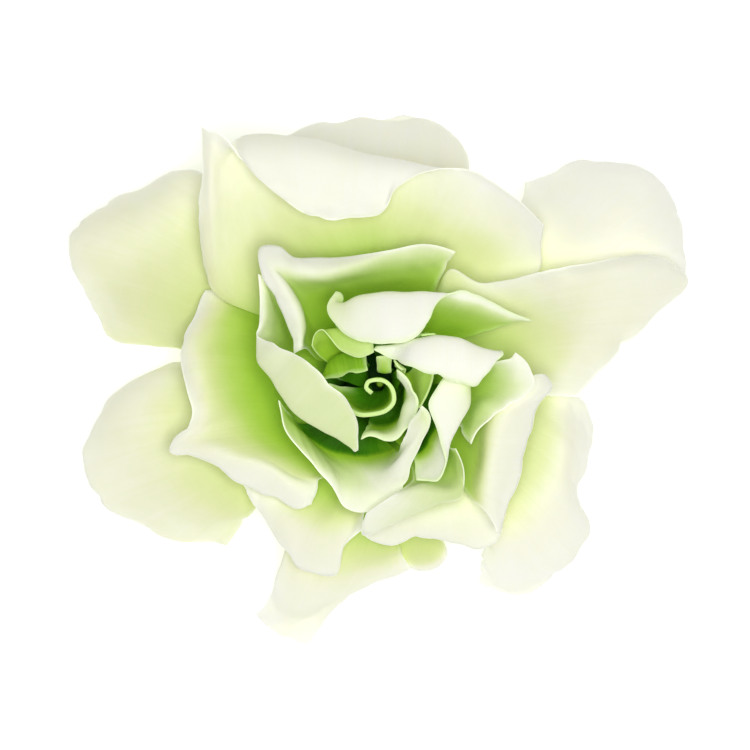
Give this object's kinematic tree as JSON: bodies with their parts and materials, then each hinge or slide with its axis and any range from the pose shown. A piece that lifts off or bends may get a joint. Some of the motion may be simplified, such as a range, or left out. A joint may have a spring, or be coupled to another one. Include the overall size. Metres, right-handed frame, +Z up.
{
  "type": "gardenia bloom",
  "caption": "A double gardenia bloom, picked and resting face up: waxy cream petals spiral round a green heart, over a ribbed calyx and a stalk stub",
  "frame": {"origin": "under the middle of the bloom, at the height of the surface that the drooping petal tips rest on", "axes": "+Z up out of the bloom's face, +X along the bloom's widest spread, +Y towards the tall folded petal"},
  "size_m": [0.1002, 0.0854, 0.0408],
  "materials": {
    "petal_outer": "waxy cream petal, satin, pale green towards its base",
    "petal_inner": "waxy white petal, satin, yellow green towards its base",
    "petal_heart": "waxy pale lemon petal, satin, green in the depth",
    "flower_tube": "satin light green",
    "calyx_green": "satin leaf green",
    "stalk_green": "matte green"
  },
  "bodies": {
    "root": {"petal_west_upper": "petal_outer", "petal_west_lower": "petal_outer", "petal_south": "petal_outer", "petal_south_lobe": "petal_outer", "petal_south_east": "petal_outer", "petal_north_east": "petal_outer", "petal_north_far": "petal_outer", "petal_north": "petal_inner", "petal_west": "petal_inner", "petal_south_west": "petal_inner", "petal_south_mid": "petal_inner", "petal_east": "petal_inner", "petal_inner_north": "petal_inner", "petal_inner_west": "petal_inner", "petal_inner_south": "petal_inner", "petal_inner_south_east": "petal_inner", "petal_outer_fold_south_east": "petal_inner", "petal_inner_east": "petal_inner", "petal_heart_north": "petal_heart", "petal_heart_east": "petal_heart", "petal_heart_south_east": "petal_heart", "petal_heart_north_west": "petal_heart", "petal_core_east": "petal_heart", "petal_core_crescent": "petal_heart", "petal_core_west": "petal_heart", "petal_core_small": "petal_heart", "petal_core_scroll": "petal_heart", "corolla_tube": "flower_tube", "calyx": "calyx_green", "stalk": "stalk_green"}
  },
  "joints": []
}
